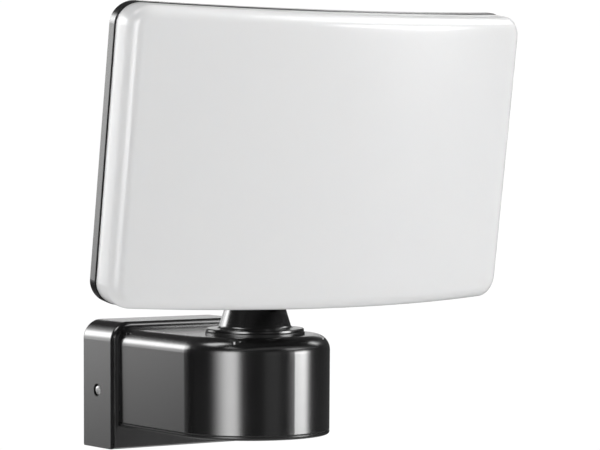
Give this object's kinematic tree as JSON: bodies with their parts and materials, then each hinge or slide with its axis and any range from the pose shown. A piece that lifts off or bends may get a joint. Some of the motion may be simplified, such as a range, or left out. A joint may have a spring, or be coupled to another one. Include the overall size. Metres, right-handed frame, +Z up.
{
  "type": "wall floodlight",
  "caption": "Wall floodlight: curved white opal panel in a thin black tray, tilting on a short swivelling neck that stands on the round nose of an arm from a wall box.",
  "frame": {"origin": "centre of the wall plate's back face, on the wall", "axes": "+Y into the wall, the light stands out towards -Y, +Z up, +X to the right for someone facing the wall"},
  "size_m": [0.2834, 0.2377, 0.2796],
  "materials": {
    "black_casting": "die-cast aluminium with semi-gloss black paint",
    "black_plastic": "semi-gloss moulded",
    "zinc_steel": "zinc plated",
    "stainless": "stainless, plain",
    "brass_screw": "plain",
    "foam": "closed-cell foam",
    "rubber": "matte",
    "white_plastic": "moulded",
    "white_aluminium": "white painted sheet",
    "white_board": "white solder mask",
    "led_phosphor": "silicone over phosphor",
    "opal": "opal moulded, semi-gloss"
  },
  "bodies": {
    "base": {"base_housing": "black_casting", "wall_plate": "zinc_steel", "wall_gasket": "foam", "side_screws": "stainless", "cable_grommet": "rubber", "terminal_block": "white_plastic", "terminal_screws": "brass_screw", "earth_screw": "brass_screw", "bottom_gasket": "rubber", "bottom_cover": "black_plastic", "bottom_screws": "stainless", "collar": "black_plastic", "stop_pin": "zinc_steel"},
    "neck": {"neck": "black_casting", "neck_oring": "rubber", "pan_stop_ring": "zinc_steel", "pan_washer": "zinc_steel", "pan_nut": "zinc_steel"},
    "head": {"tilt_yoke": "black_casting", "yoke_screws": "stainless", "hinge_bolt": "stainless", "hinge_nut": "stainless", "hinge_washers": "stainless", "driver_cover": "black_casting", "cover_gasket": "rubber", "cover_screws": "stainless", "led_driver": "black_plastic", "driver_screws": "zinc_steel", "vent_plug": "black_plastic", "back_housing": "black_casting", "led_carrier": "white_aluminium", "carrier_screws": "zinc_steel", "led_boards": "white_board", "leds": "led_phosphor", "diffuser_gasket": "rubber", "diffuser": "opal", "diffuser_screws": "stainless"}
  },
  "joints": [
    {"name": "pan", "type": "hinge", "parent": "base", "child": "neck", "pos_m": [0, -0.1243, 0.0364], "axis": [0, 0, 1], "range_deg": [-50, 50]},
    {"name": "tilt", "type": "hinge", "parent": "neck", "child": "head", "pos_m": [0, -0.1243, 0.084], "axis": [1, 0, 0], "range_deg": [-30, 15]}
  ]
}
